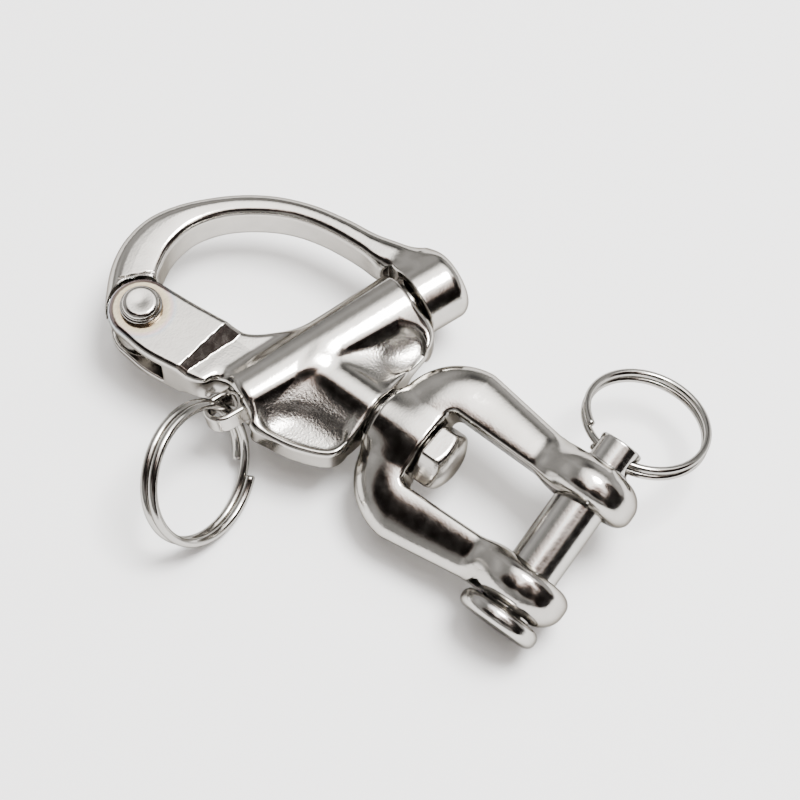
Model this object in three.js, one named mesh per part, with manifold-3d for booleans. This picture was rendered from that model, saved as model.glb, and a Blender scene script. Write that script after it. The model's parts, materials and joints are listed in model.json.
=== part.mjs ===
// Swivel snap shackle with a clevis fork, 87 mm long, for an 8 mm clevis pin.
// Working frame while building: Y is the swivel axis and points to the hook, X points to the lock-pin boss,
// Z is up, and the clevis-pin axis crosses the swivel axis at the origin. The finished group is then
// shifted so that its origin is the bottom centre of its box.
import * as THREE from 'three';
import { mergeVertices } from 'three/addons/utils/BufferGeometryUtils.js';
import Module from 'manifold-3d';

const wasm = await Module();
wasm.setup();

// ---------------------------------------------------------------- driving dimensions, mm
const DEG = Math.PI / 180;
const SIDES = 28;                 // facets round shafts and bores
const SHORTEST_EDGE = 0.04;
const NEEDLE_HEIGHT = 0.004;

const BODY_END_Y = 32.0;          // flat end of the body, facing the fork crown
const WEB_THICK = 5.0;            // gusset web
const RIM = 1.9;                  // width of the raised rim left round each recess
const RECESS_DEPTH = 1.1;
const ARM_THICK = 8.4;            // two hinge ears with the slot between them
const STEM_R = 4.5;               // swivel barrel
const STEM_EDGE = 0.4;
const STEM_TOP_Y = 44.0;
const WEB_BEVEL = 1.1;
const ARM_BEVEL = 0.9;
const THROUGH = 10;               // cutters reach this far beyond what they cut

const HINGE = new THREE.Vector2(-8.9, 69.2);
const EAR_R = 5.15;               // round end of the hinge ears
const SLOT_THICK = 4.6;
const SLOT_R = 9.2;
const TONGUE_THICK = 4.1;
const TONGUE_R = 4.6;
const SHOULDER_R = 5.6;           // where the hook takes its full thickness
const RIVET_R = 2.0;
const RIVET_HOLE_R = 2.12;
const RIVET_STEP_R = 3.2;
const RIVET_DOME_R = 2.55;
const RIVET_CLEARANCE = 0.05;     // under each rivet head
const RIVET_STEP_HEIGHT = 0.95;
const RIVET_HEIGHT = 2.15;

const HOOK_THICK = 7.6;
const HOOK_BEVEL = 1.5;

const TUBE_TILT = -19 * DEG;      // lock-pin axis, measured from +X
const TUBE_END = new THREE.Vector2(16.6, 39.9);   // centre of the tube's mouth
const TUBE_LENGTH = 29.6;
const TUBE_R_MOUTH = 5.6;
const TUBE_R_EYE = 4.5;
const TUBE_EDGE = 0.6;            // chamfer at the mouth
const TUBE_END_TAPER = [1.2, 1.6];                // inwards and along, at the ring end
const BORE_R = 3.35;
const BORE_DEPTH = 23.5;
const STEM_BORE_R = 2.15;

const BOSS_GAP = 1.2;             // between tube mouth and boss face
const BOSS_LENGTH = 7.5;
const BOSS_R = 5.6;
const BOSS_EDGE = 0.7;
const FACE_CLEARANCE = 0.7;       // the hook's tail keeps this far outside the tube's mouth
const SOCKET_R = 3.5;
const SOCKET_DEPTH = 4.2;
const SOCKET_LEAD = 0.4;          // the socket's mouth is this much wider

const PLUNGER_R = 3.2;
const PLUNGER_STEM_R = 2.0;
const PLUNGER_HEAD_LENGTH = 9.0;
const NOSE_CONE = 1.7;            // length of the blunt cone that enters the socket
const NOSE_TIP_R = 1.2;
const NOSE_SETBACK = 0.2;         // the cone starts this far inside the gap
const EYE_SHANK = 0.6;            // the stem stops this far short of the eye hole's centre
const EYE_WIDTH = 5.4;
const EYE_THICK = 3.0;
const EYE_HOLE_R = 1.75;
const EYE_HOLE_STRETCH = 0.45;    // the hole is a short slot, this much longer at each end
const EYE_CENTRE = 1.9;           // eye hole, beyond the tube's end
const EYE_ROOT = 2.6;             // from the eye hole to the shoulder on the stem
const EYE_POCKET_DEPTH = 1.2;     // pocket in the tube's end that takes the eye's root
const EYE_POCKET_R = 3.1;
const EYE_CLEAR_R = 4.9;          // room cut in the casting round the eye
const EYE_TURN = -19 * DEG;       // the lock pin stands turned this far about its own axis

const SPRING_WIRE_R = 0.35;
const SPRING_R = 2.67;
const SPRING_TURNS = 7;
const SPRING_GAP = 0.5;           // at each end of the spring

const FORK_TURN = 16 * DEG;       // how far the fork stands turned about the swivel axis
const CROWN_IN_Y = 22.7;
const CROWN_OUT_Y = 31.5;
const CROWN_HOLE_R = 3.2;
const LEG_R_CROWN = 4.0;
const LEG_R_EAR = 3.2;
const LEG_AT_CROWN = 10.3;        // leg centre line, from the swivel axis
const LEG_AT_EAR = 9.2;
const LEG_HALF = 3.7;             // half the leg's width through Z
const CROWN_HALF = 4.2;
const LEG_START_Y = 1;
const CORNER_R = 6.6;             // centre line where a leg turns into the crown
const BOW_STEPS = 6;
const FORK_EAR_R = 7.4;
const FORK_EAR_IN = 5.9;
const FORK_EAR_OUT = 12.4;
const PIN_R = 3.95;
const PIN_HOLE_R = 4.1;

const BOLT_R = 3.0;
const BOLT_HOLE_R = 3.12;
const BOLT_CLEARANCE = 0.3;       // between hex head and crown
const BOLT_BORE_OVER = 0.5;       // beyond the bolt's end
const HEX_R = 5.15;               // across corners / 2
const HEX_LENGTH = 4.6;
const HEX_FACE_R = 2.2;           // flat in the middle of the domed end
const HEX_SHOULDER = 2.4;         // corners are left whole over this length
const BOLT_TOP_Y = 40.4;

const PIN_HEAD_R = 6.4;
const PIN_HEAD_THICK = 2.8;
const PIN_HEAD_CLEARANCE = 0.3;
const PIN_STEP = 0.2;             // the full diameter ends this far outside the ear
const PIN_EDGE = 0.4;
const PIN_END_R = 3.35;
const PIN_END = 16.5;
const CROSS_HOLE_AT = 14.1;
const CROSS_HOLE_R = 1.65;
const CROSS_SIDES = 20;

// Split rings: mean radius, wire radius, and how far the wire's arc is set back to clear its hole's mouths.
const LOCK_RING = { radius: 10.2, wire: 0.74, setBack: 0.1 };
const CLEVIS_RING = { radius: 9.25, wire: 0.62, setBack: 0.3 };
const RING_TURNS = 1.97;
const COIL_GAP = 0.06;            // between a ring's two coils
const LOCK_SPLIT = 245 * DEG;     // where each ring's wire starts, round from its centre's side
const CLEVIS_SPLIT = 215 * DEG;
const CLEVIS_DROOP = -37 * DEG;   // how far the clevis ring hangs below the pin's axis

// ---------------------------------------------------------------- solids
function manifold(geometry) {
  const bare = geometry.clone();
  bare.deleteAttribute('normal');
  bare.deleteAttribute('uv');
  const merged = mergeVertices(bare, 1e-4);
  const mesh = new wasm.Mesh({
    numProp: 3,
    vertProperties: new Float32Array(merged.attributes.position.array),
    triVerts: new Uint32Array(merged.index.array),
  });
  return new wasm.Manifold(mesh);
}

// Cuts leave very short edges and needle triangles: short edges are closed up, and needles are
// removed by turning their longest edge.
function withoutSlivers(positions, triangles) {
  const at = (i) => new THREE.Vector3().fromArray(positions, i * 3);
  const home = new Map();
  const find = (i) => (home.has(i) ? find(home.get(i)) : i);
  let faces = [];
  for (let i = 0; i < triangles.length; i += 3) {
    faces.push([triangles[i], triangles[i + 1], triangles[i + 2]]);
  }
  for (const face of faces) {
    for (let k = 0; k < 3; k += 1) {
      const p = find(face[k]);
      const q = find(face[(k + 1) % 3]);
      if (p !== q && at(p).distanceTo(at(q)) < SHORTEST_EDGE) {
        home.set(q, p);
      }
    }
  }
  faces = faces.map((face) => face.map(find)).filter(([p, q, r]) => p !== q && q !== r && r !== p);
  const height = ([p, q, r]) => {
    const sides = [at(p).distanceTo(at(q)), at(q).distanceTo(at(r)), at(r).distanceTo(at(p))];
    const area = new THREE.Triangle(at(p), at(q), at(r)).getArea();
    return (2 * area) / Math.max(...sides);
  };
  for (let pass = 0; pass < 4; pass += 1) {
    for (let i = 0; i < faces.length; i += 1) {
      if (height(faces[i]) > NEEDLE_HEIGHT) {
        continue;
      }
      const face = faces[i];
      const lengths = face.map((p, k) => at(p).distanceTo(at(face[(k + 1) % 3])));
      const k = lengths.indexOf(Math.max(...lengths));
      const [p, q, r] = [face[k], face[(k + 1) % 3], face[(k + 2) % 3]];
      const j = faces.findIndex((other, n) => n !== i && other.includes(p) && other.includes(q));
      const s = faces[j].find((v) => v !== p && v !== q);
      if (!faces.some((other) => other.includes(r) && other.includes(s))) {
        faces[i] = [p, s, r];
        faces[j] = [s, q, r];
      }
    }
  }
  return faces.flat();
}

function geometryOf(solid) {
  const mesh = solid.getMesh();
  const geometry = new THREE.BufferGeometry();
  geometry.setAttribute('position', new THREE.BufferAttribute(new Float32Array(mesh.vertProperties), 3));
  geometry.setIndex(withoutSlivers(mesh.vertProperties, mesh.triVerts));
  geometry.computeVertexNormals();
  return geometry;
}

// A solid of revolution about `axis` through `origin`; profile points are [radius, distance along axis].
function turned(profile, origin, axis, sides = SIDES) {
  const points = profile.map(([r, d]) => new THREE.Vector2(r, d));
  const geometry = new THREE.LatheGeometry(points, sides);
  const turn = new THREE.Quaternion().setFromUnitVectors(new THREE.Vector3(0, 1, 0), axis);
  geometry.applyQuaternion(turn);
  geometry.translate(origin.x, origin.y, origin.z);
  return manifold(geometry);
}

function rod(radius, from, to, origin, axis, sides = SIDES) {
  return turned([[0, from], [radius, from], [radius, to], [0, to]], origin, axis, sides);
}

// The outline's points, thinned to steps long enough for a bevel to turn every corner.
function outlinePoints(outline, step) {
  const all = outline instanceof THREE.Shape ? outline.getPoints(12) : outline;
  const kept = [all[0]];
  for (const point of all) {
    if (point.distanceTo(kept[kept.length - 1]) > step && point.distanceTo(kept[0]) > step) {
      kept.push(point);
    }
  }
  return kept;
}

// A flat plate of the given outline, `thick` through Z and centred on it, its edges bevelled.
function plate(outline, thick, bevel, segments = 2) {
  const geometry = new THREE.ExtrudeGeometry(new THREE.Shape(outlinePoints(outline, 0.2 + bevel)), {
    depth: thick - 2 * bevel,
    bevelEnabled: bevel > 0,
    bevelThickness: bevel,
    bevelSize: bevel,
    bevelOffset: -bevel,
    bevelSegments: segments,
  });
  geometry.translate(0, 0, -thick / 2 + bevel);
  return manifold(geometry);
}

// A closed bar swept along a list of sections {at, across, up, a, b}: an ellipse with half axes a and b.
function swept(sections, sides) {
  const positions = [];
  const index = [];
  const push = (v) => positions.push(v.x, v.y, v.z);
  for (const { at, across, up, a, b } of sections) {
    for (let k = 0; k < sides; k += 1) {
      const t = (k / sides) * 2 * Math.PI;
      const p = at.clone().addScaledVector(across, a * Math.cos(t)).addScaledVector(up, b * Math.sin(t));
      push(p);
    }
  }
  const last = sections.length - 1;
  for (let i = 0; i < last; i += 1) {
    for (let k = 0; k < sides; k += 1) {
      const next = (k + 1) % sides;
      const p = i * sides + k;
      const q = i * sides + next;
      index.push(p, q, p + sides, q, q + sides, p + sides);
    }
  }
  const first = positions.length / 3;
  push(sections[0].at);
  push(sections[last].at);
  for (let k = 0; k < sides; k += 1) {
    const next = (k + 1) % sides;
    index.push(first, next, k);
    index.push(first + 1, last * sides + k, last * sides + next);
  }
  const geometry = new THREE.BufferGeometry();
  geometry.setAttribute('position', new THREE.BufferAttribute(new Float32Array(positions), 3));
  geometry.setIndex(index);
  const solid = manifold(geometry);
  if (solid.volume() > 0) {
    return solid;
  }
  const flipped = [];
  for (let i = 0; i < index.length; i += 3) {
    flipped.push(index[i], index[i + 2], index[i + 1]);
  }
  geometry.setIndex(flipped);
  return manifold(geometry);
}

// A round wire wound `turns` times about `normal`, starting at the direction `start` from the centre.
function coil({ centre, normal, start, radius, wire, pitch, turns, stepsPerTurn, sides }) {
  const n = normal.clone().normalize();
  const u = start.clone().addScaledVector(n, -start.dot(n)).normalize();
  const v = new THREE.Vector3().crossVectors(n, u);
  const steps = Math.round(turns * stepsPerTurn);
  const sections = [];
  for (let i = 0; i <= steps; i += 1) {
    const t = (i / stepsPerTurn) * 2 * Math.PI;
    const out = u.clone().multiplyScalar(Math.cos(t)).addScaledVector(v, Math.sin(t));
    const rise = pitch * (i / stepsPerTurn - turns / 2);
    const at = centre.clone().addScaledVector(out, radius).addScaledVector(n, rise);
    sections.push({ at, across: out, up: n, a: wire, b: wire });
  }
  return swept(sections, sides);
}

const flat = (x, y) => new THREE.Vector2(x, y);
const X = new THREE.Vector3(1, 0, 0);
const Y = new THREE.Vector3(0, 1, 0);
const Z = new THREE.Vector3(0, 0, 1);
const ORIGIN = new THREE.Vector3(0, 0, 0);
const hinge3 = new THREE.Vector3(HINGE.x, HINGE.y, 0);
const tubeAxis = new THREE.Vector3(Math.cos(TUBE_TILT), Math.sin(TUBE_TILT), 0);
const tubeMouth = new THREE.Vector3(TUBE_END.x, TUBE_END.y, 0);
const alongTube = (d) => tubeMouth.clone().addScaledVector(tubeAxis, d);
const lockHoleAxis = Z.clone().applyAxisAngle(tubeAxis, EYE_TURN);
const clevisEye = new THREE.Vector3(CROSS_HOLE_AT, 0, 0);

// ---------------------------------------------------------------- body casting
function hingeArm() {
  const outline = new THREE.Shape();
  outline.moveTo(HINGE.x + EAR_R, HINGE.y);
  outline.absarc(HINGE.x, HINGE.y, EAR_R, 0, Math.PI, false);
  outline.splineThru([flat(-14.4, 64.5), flat(-13.7, 59), flat(-12.8, 54), flat(-12.2, 49)]);
  outline.lineTo(0, 44);
  outline.lineTo(5, 47.5);
  outline.splineThru([flat(1.8, 50.8), flat(-2.0, 55.2), flat(-3.2, 62), flat(HINGE.x + EAR_R, HINGE.y)]);
  return plate(outline, ARM_THICK, ARM_BEVEL);
}

function webOutline(inset) {
  const outline = new THREE.Shape();
  outline.moveTo(15.6 - inset, 35 + inset);
  outline.splineThru([flat(14.4 - inset, 33.2 + inset), flat(11.6 - inset, BODY_END_Y + inset)]);
  outline.lineTo(-7.6 + inset, BODY_END_Y + inset);
  outline.splineThru([
    flat(-10.6 + inset, 33.5 + inset), flat(-12.6 + inset, 37.5), flat(-13.5 + inset, 42),
    flat(-14 + inset, 47.5),
  ]);
  outline.lineTo(-11.6, 50.2);
  outline.lineTo(15.6 - inset, 40.2);
  return outline;
}

function recess(side) {
  const floor = WEB_THICK / 2 - RECESS_DEPTH;
  const cutter = plate(webOutline(RIM), 6, 0.5, 1).translate([0, 0, side * (floor + 3)]);
  const farEnd = -TUBE_LENGTH - 1.4;
  const tube = turned([[0, farEnd], [TUBE_R_EYE, farEnd], [TUBE_R_MOUTH, 1], [0, 1]], tubeMouth, tubeAxis);
  const stem = rod(STEM_R, BODY_END_Y - 1, STEM_TOP_Y + 2, ORIGIN, Y);
  return cutter.subtract(tube).subtract(stem);
}

function bodySolid() {
  const [taperIn, taperAlong] = TUBE_END_TAPER;
  const tube = turned(
    [[0, -TUBE_LENGTH], [TUBE_R_EYE - taperIn, -TUBE_LENGTH], [TUBE_R_EYE, taperAlong - TUBE_LENGTH],
      [TUBE_R_MOUTH, -TUBE_EDGE], [TUBE_R_MOUTH - TUBE_EDGE, 0], [0, 0]], tubeMouth, tubeAxis);
  const stem = turned([[0, BODY_END_Y], [STEM_R - STEM_EDGE, BODY_END_Y], [STEM_R, BODY_END_Y + STEM_EDGE],
    [STEM_R, STEM_TOP_Y], [0, STEM_TOP_Y]], ORIGIN, Y);
  const bore = rod(BORE_R, -BORE_DEPTH, THROUGH, tubeMouth, tubeAxis);
  const stemBore = rod(STEM_BORE_R, -TUBE_LENGTH - THROUGH, 0, tubeMouth, tubeAxis);
  const eyePocket = rod(EYE_POCKET_R, -TUBE_LENGTH - 1, EYE_POCKET_DEPTH - TUBE_LENGTH, tubeMouth, tubeAxis);
  const eyeRoom = rod(EYE_CLEAR_R, -TUBE_LENGTH - THROUGH, -TUBE_LENGTH, tubeMouth, tubeAxis);
  const boltBore = rod(BOLT_HOLE_R, BODY_END_Y - 1, BOLT_TOP_Y + BOLT_BORE_OVER, ORIGIN, Y);
  const slot = rod(SLOT_R, -SLOT_THICK / 2, SLOT_THICK / 2, hinge3, Z, 48);
  const rivetHole = rod(RIVET_HOLE_R, -THROUGH, THROUGH, hinge3, Z);
  const boltEnd = new THREE.BoxGeometry(40, 4, 20);
  boltEnd.translate(0, BODY_END_Y - 2, 0);
  return plate(webOutline(0), WEB_THICK, WEB_BEVEL)
    .subtract(recess(1)).subtract(recess(-1))
    .add(hingeArm()).add(tube).add(stem)
    .subtract(slot).subtract(rivetHole).subtract(bore).subtract(stemBore).subtract(boltBore)
    .subtract(eyePocket).subtract(eyeRoom)
    .subtract(manifold(boltEnd));
}

// ---------------------------------------------------------------- hook arm
function hookSolid() {
  const outline = new THREE.Shape();
  outline.moveTo(-13.6, 70.2);
  outline.splineThru([
    flat(-13.0, 72.8), flat(-10.0, 75.6), flat(-5.6, 78.4), flat(-1.0, 79.7), flat(4.0, 79.4),
    flat(8.6, 77.3),
    flat(12.8, 74.0), flat(16.4, 70.2), flat(19.3, 65.8), flat(21.5, 60.6), flat(22.8, 54.8),
    flat(23.4, 49.8),
    flat(24.9, 46.0), flat(25.2, 42.5),
  ]);
  outline.lineTo(20.5, 42.5);
  outline.splineThru([
    flat(18.5, 46.5), flat(18.8, 50.5), flat(18.3, 56.5), flat(16.9, 61.6), flat(14.4, 66.0),
    flat(11.0, 69.8),
    flat(7.0, 72.2), flat(3.0, 72.8), flat(-0.4, 72.2), flat(-3.6, 70.6),
  ]);
  outline.lineTo(-8.9, 66);
  const bossEnd = BOSS_GAP + BOSS_LENGTH;
  const boss = turned(
    [[0, BOSS_GAP], [BOSS_R - BOSS_EDGE, BOSS_GAP], [BOSS_R, BOSS_GAP + BOSS_EDGE],
      [BOSS_R, bossEnd - 1.3], [BOSS_R - 0.4, bossEnd - 0.5], [BOSS_R - 1.5, bossEnd], [0, bossEnd]],
    tubeMouth, tubeAxis);
  const socket = turned(
    [[0, 0], [SOCKET_R + 1, 0], [SOCKET_R + SOCKET_LEAD, BOSS_GAP],
    [SOCKET_R, BOSS_GAP + 1.5 * SOCKET_LEAD],
      [SOCKET_R, BOSS_GAP + SOCKET_DEPTH - 1], [0, BOSS_GAP + SOCKET_DEPTH]], tubeMouth, tubeAxis);
  const faceCut = rod(TUBE_R_MOUTH + FACE_CLEARANCE, -2 * THROUGH, BOSS_GAP, tubeMouth, tubeAxis);
  const shoulder = rod(SHOULDER_R, -THROUGH, THROUGH, hinge3, Z, 48);
  const tongueDisc = rod(TONGUE_R, -TONGUE_THICK / 2, TONGUE_THICK / 2, hinge3, Z);
  const tongueNeck = plate([flat(-12.4, 69.2), flat(-5.4, 69.2), flat(-2.9, 71.6), flat(-10.6, 75.2)],
    TONGUE_THICK, 0);
  const hole = rod(RIVET_HOLE_R, -THROUGH, THROUGH, hinge3, Z);
  return plate(outline, HOOK_THICK, HOOK_BEVEL)
    .subtract(shoulder)
    .add(boss)
    .add(tongueDisc).add(tongueNeck)
    .subtract(hole).subtract(socket).subtract(faceCut);
}

function rivetSolid() {
  const ear = ARM_THICK / 2 + RIVET_CLEARANCE;
  const step = ear + RIVET_STEP_HEIGHT;
  const top = ear + RIVET_HEIGHT;
  const half = [[RIVET_R, ear], [RIVET_STEP_R, ear], [RIVET_STEP_R, step - 0.25],
  [RIVET_STEP_R - 0.25, step],
    [RIVET_DOME_R, step], [RIVET_DOME_R - 0.15, top - 0.65], [RIVET_DOME_R - 0.9, top - 0.15], [0, top]];
  const lower = half.map(([r, d]) => [r, -d]).reverse();
  return turned([...lower, ...half], hinge3, Z);
}

// ---------------------------------------------------------------- lock pin, spring and ring
function plungerSolid() {
  const eyeAt = -TUBE_LENGTH - EYE_CENTRE;
  const tip = BOSS_GAP + NOSE_CONE;
  const shaft = turned(
    [[0, eyeAt + EYE_SHANK], [PLUNGER_STEM_R, eyeAt + EYE_SHANK], [PLUNGER_STEM_R, -PLUNGER_HEAD_LENGTH],
      [PLUNGER_R, -PLUNGER_HEAD_LENGTH], [PLUNGER_R, BOSS_GAP - NOSE_SETBACK],
      [NOSE_TIP_R + 0.5, tip - 0.45],
      [NOSE_TIP_R - 0.2, tip], [0, tip]], tubeMouth, tubeAxis);
  const half = EYE_WIDTH / 2;
  const tipAt = -EYE_HOLE_STRETCH;
  const outline = new THREE.Shape();
  outline.moveTo(EYE_ROOT, half - EYE_SHANK);
  outline.lineTo(tipAt, half);
  outline.absarc(tipAt, 0, half, Math.PI / 2, 1.5 * Math.PI, false);
  outline.lineTo(EYE_ROOT, EYE_SHANK - half);
  const hole = new THREE.Shape();
  hole.absarc(tipAt, 0, EYE_HOLE_R, Math.PI / 2, 1.5 * Math.PI, false);
  hole.absarc(-tipAt, 0, EYE_HOLE_R, -Math.PI / 2, Math.PI / 2, false);
  const side = new THREE.Vector3().crossVectors(lockHoleAxis, tubeAxis);
  const place = new THREE.Matrix4().makeBasis(tubeAxis, side, lockHoleAxis).setPosition(alongTube(eyeAt));
  const blade = plate(outline, EYE_THICK, 0.4, 1).transform(place.elements);
  return shaft.add(blade).subtract(plate(hole, THROUGH, 0).transform(place.elements));
}

function springSolid() {
  const from = -BORE_DEPTH + SPRING_GAP;
  const to = -PLUNGER_HEAD_LENGTH - SPRING_GAP;
  const middle = alongTube((from + to) / 2);
  return coil({
    centre: middle, normal: tubeAxis, start: Z, radius: SPRING_R, wire: SPRING_WIRE_R,
    pitch: (to - from) / SPRING_TURNS, turns: SPRING_TURNS, stepsPerTurn: 12, sides: 5,
  });
}

// A double-coil split ring whose wire passes through `hole` along `tangent`, its centre lying towards `out`.
function splitRing({ radius, wire, setBack }, hole, tangent, out, split) {
  const t = tangent.clone().normalize();
  const r = out.clone().addScaledVector(t, -out.dot(t)).normalize();
  const normal = new THREE.Vector3().crossVectors(t, r);
  const pitch = 2 * wire + COIL_GAP;
  const turnsToHole = (1.5 - split / (2 * Math.PI)) % 1;
  const level = -pitch * (turnsToHole + 0.5 - RING_TURNS / 2);
  const centre = hole.clone().addScaledVector(r, radius - setBack).addScaledVector(normal, level);
  const start = r.clone().applyAxisAngle(normal, split);
  return coil({ centre, normal, start, radius, wire, pitch, turns: RING_TURNS, stepsPerTurn: 32, sides: 8 });
}

// ---------------------------------------------------------------- fork, bolt, clevis pin and ring
function forkSolid() {
  const crownY = (CROWN_IN_Y + CROWN_OUT_Y) / 2;
  const crownHalf = (CROWN_OUT_Y - CROWN_IN_Y) / 2;
  const legTop = crownY - CORNER_R;
  const path = [];
  for (let i = 0; i <= BOW_STEPS; i += 1) {
    const y = LEG_START_Y + ((legTop - LEG_START_Y) * i) / BOW_STEPS;
    const share = Math.max(0, (y - PIN_HEAD_R) / (legTop - PIN_HEAD_R));
    path.push({
      s: LEG_AT_EAR + (LEG_AT_CROWN - LEG_AT_EAR) * share, y, angle: 0,
      a: LEG_R_EAR + (LEG_R_CROWN - LEG_R_EAR) * share, b: LEG_HALF,
    });
  }
  for (let i = 1; i <= BOW_STEPS; i += 1) {
    const share = i / BOW_STEPS;
    const angle = share * 90 * DEG;
    path.push({
      s: LEG_AT_CROWN - CORNER_R + CORNER_R * Math.cos(angle), y: legTop + CORNER_R * Math.sin(angle),
      angle,
      a: LEG_R_CROWN + (crownHalf - LEG_R_CROWN) * share, b: LEG_HALF + (CROWN_HALF - LEG_HALF) * share,
    });
  }
  const section = ({ s, y, angle, a, b }, side) => ({
    at: new THREE.Vector3(side * s, y, 0),
    across: new THREE.Vector3(Math.cos(angle), side * Math.sin(angle), 0),
    up: Z, a, b,
  });
  const right = path.map((p) => section(p, 1));
  const left = path.slice(0, -1).reverse().map((p) => section(p, -1));
  const bow = swept([...right, ...left.map((p) => ({ ...p, across: p.across.clone().negate() }))], 20);
  const ear = (side) => turned(
    [[0, FORK_EAR_IN], [FORK_EAR_R - 1.6, FORK_EAR_IN], [FORK_EAR_R - 0.5, FORK_EAR_IN + 0.5],
      [FORK_EAR_R, FORK_EAR_IN + 1.8], [FORK_EAR_R, FORK_EAR_OUT - 3.2],
      [FORK_EAR_R - 0.8, FORK_EAR_OUT - 1.3],
      [FORK_EAR_R - 2.4, FORK_EAR_OUT], [0, FORK_EAR_OUT]], ORIGIN, X.clone().multiplyScalar(side));
  const crownHole = rod(CROWN_HOLE_R, CROWN_IN_Y - THROUGH, CROWN_OUT_Y + THROUGH, ORIGIN, Y);
  const pinHole = rod(PIN_HOLE_R, -FORK_EAR_OUT - THROUGH, FORK_EAR_OUT + THROUGH, ORIGIN, X);
  const seat = new THREE.BoxGeometry(8, 3, 16);
  seat.translate(0, CROWN_IN_Y - 1.5, 0);
  const endFace = new THREE.BoxGeometry(40, 4, 20);
  endFace.translate(0, CROWN_OUT_Y + 2, 0);
  return bow.add(ear(1)).add(ear(-1)).subtract(crownHole).subtract(pinHole)
    .subtract(manifold(seat)).subtract(manifold(endFace));
}

function boltSolid() {
  const under = CROWN_IN_Y - BOLT_CLEARANCE;
  const face = under - HEX_LENGTH;
  const hex = turned([[0, face], [HEX_R, face], [HEX_R, under], [0, under]], ORIGIN, Y, 6);
  const dome = turned([[0, face], [HEX_FACE_R, face], [HEX_FACE_R + 1.5, face + 0.6],
    [HEX_R + 0.1, under - HEX_SHOULDER], [HEX_R + 0.1, under + 0.1], [0, under + 0.1]], ORIGIN, Y);
  const shaft = rod(BOLT_R, under - 0.5, BOLT_TOP_Y, ORIGIN, Y);
  return hex.intersect(dome).add(shaft);
}

function clevisPinSolid() {
  const head = -FORK_EAR_OUT - PIN_HEAD_CLEARANCE;
  const headEnd = head - PIN_HEAD_THICK;
  const shaftEnd = FORK_EAR_OUT + PIN_STEP;
  const pin = turned(
    [[0, headEnd], [PIN_HEAD_R - 1.1, headEnd], [PIN_HEAD_R - 0.3, headEnd + 0.6],
    [PIN_HEAD_R, headEnd + 1.4],
      [PIN_HEAD_R - 0.3, head - 0.3], [PIN_HEAD_R - 0.8, head], [PIN_R, head], [PIN_R, shaftEnd - PIN_EDGE],
      [PIN_END_R, shaftEnd], [PIN_END_R, PIN_END - PIN_EDGE], [PIN_END_R - PIN_EDGE, PIN_END],
      [0, PIN_END]],
    ORIGIN, X);
  const crossHole = rod(CROSS_HOLE_R, -THROUGH, THROUGH, clevisEye, Y, CROSS_SIDES);
  return pin.subtract(crossHole);
}

// ---------------------------------------------------------------- the assembly
function named(name, solid, color, roughness) {
  const material = new THREE.MeshStandardMaterial({ color, roughness, metalness: 1 });
  const mesh = new THREE.Mesh(geometryOf(solid), material);
  mesh.name = name;
  return mesh;
}

const STEEL = '#d9d6d0';
const SPRING_STEEL = '#b9b6b0';

const lockEye = alongTube(-TUBE_LENGTH - EYE_CENTRE);
const lockTangent = new THREE.Vector3(0.24, -0.41, -0.88);
const lockOut = new THREE.Vector3(-0.96, -0.21, -0.16);
const clevisOut = new THREE.Vector3(Math.cos(CLEVIS_DROOP), 0, Math.sin(CLEVIS_DROOP));

const bodyGroup = new THREE.Group();
bodyGroup.add(
  named('body', bodySolid(), STEEL, 0.16),
  named('hinge_rivet', rivetSolid(), STEEL, 0.14),
  named('hook', hookSolid(), STEEL, 0.16),
  named('plunger', plungerSolid(), STEEL, 0.18),
  named('plunger_spring', springSolid(), SPRING_STEEL, 0.35),
  named('plunger_ring', splitRing(LOCK_RING, lockEye, lockTangent, lockOut, LOCK_SPLIT), STEEL, 0.15),
  named('swivel_bolt', boltSolid(), STEEL, 0.3),
);

const forkGroup = new THREE.Group();
forkGroup.rotation.y = -FORK_TURN;
forkGroup.add(
  named('fork', forkSolid(), STEEL, 0.14),
  named('clevis_pin', clevisPinSolid(), STEEL, 0.2),
  named('clevis_ring', splitRing(CLEVIS_RING, clevisEye, Y, clevisOut, CLEVIS_SPLIT), STEEL, 0.15),
);

const shackle = new THREE.Group();
shackle.name = 'snap_shackle';
shackle.add(bodyGroup, forkGroup);
shackle.updateMatrixWorld(true);
const box = new THREE.Box3().setFromObject(shackle, true);
const centre = box.getCenter(new THREE.Vector3());
shackle.position.set(-centre.x, -centre.y, -box.min.z);
shackle.updateMatrixWorld(true);

export default shackle;
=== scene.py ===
"""A polished steel snap shackle with a swivel fork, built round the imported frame, on a pale floor."""

import json
import math

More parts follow.
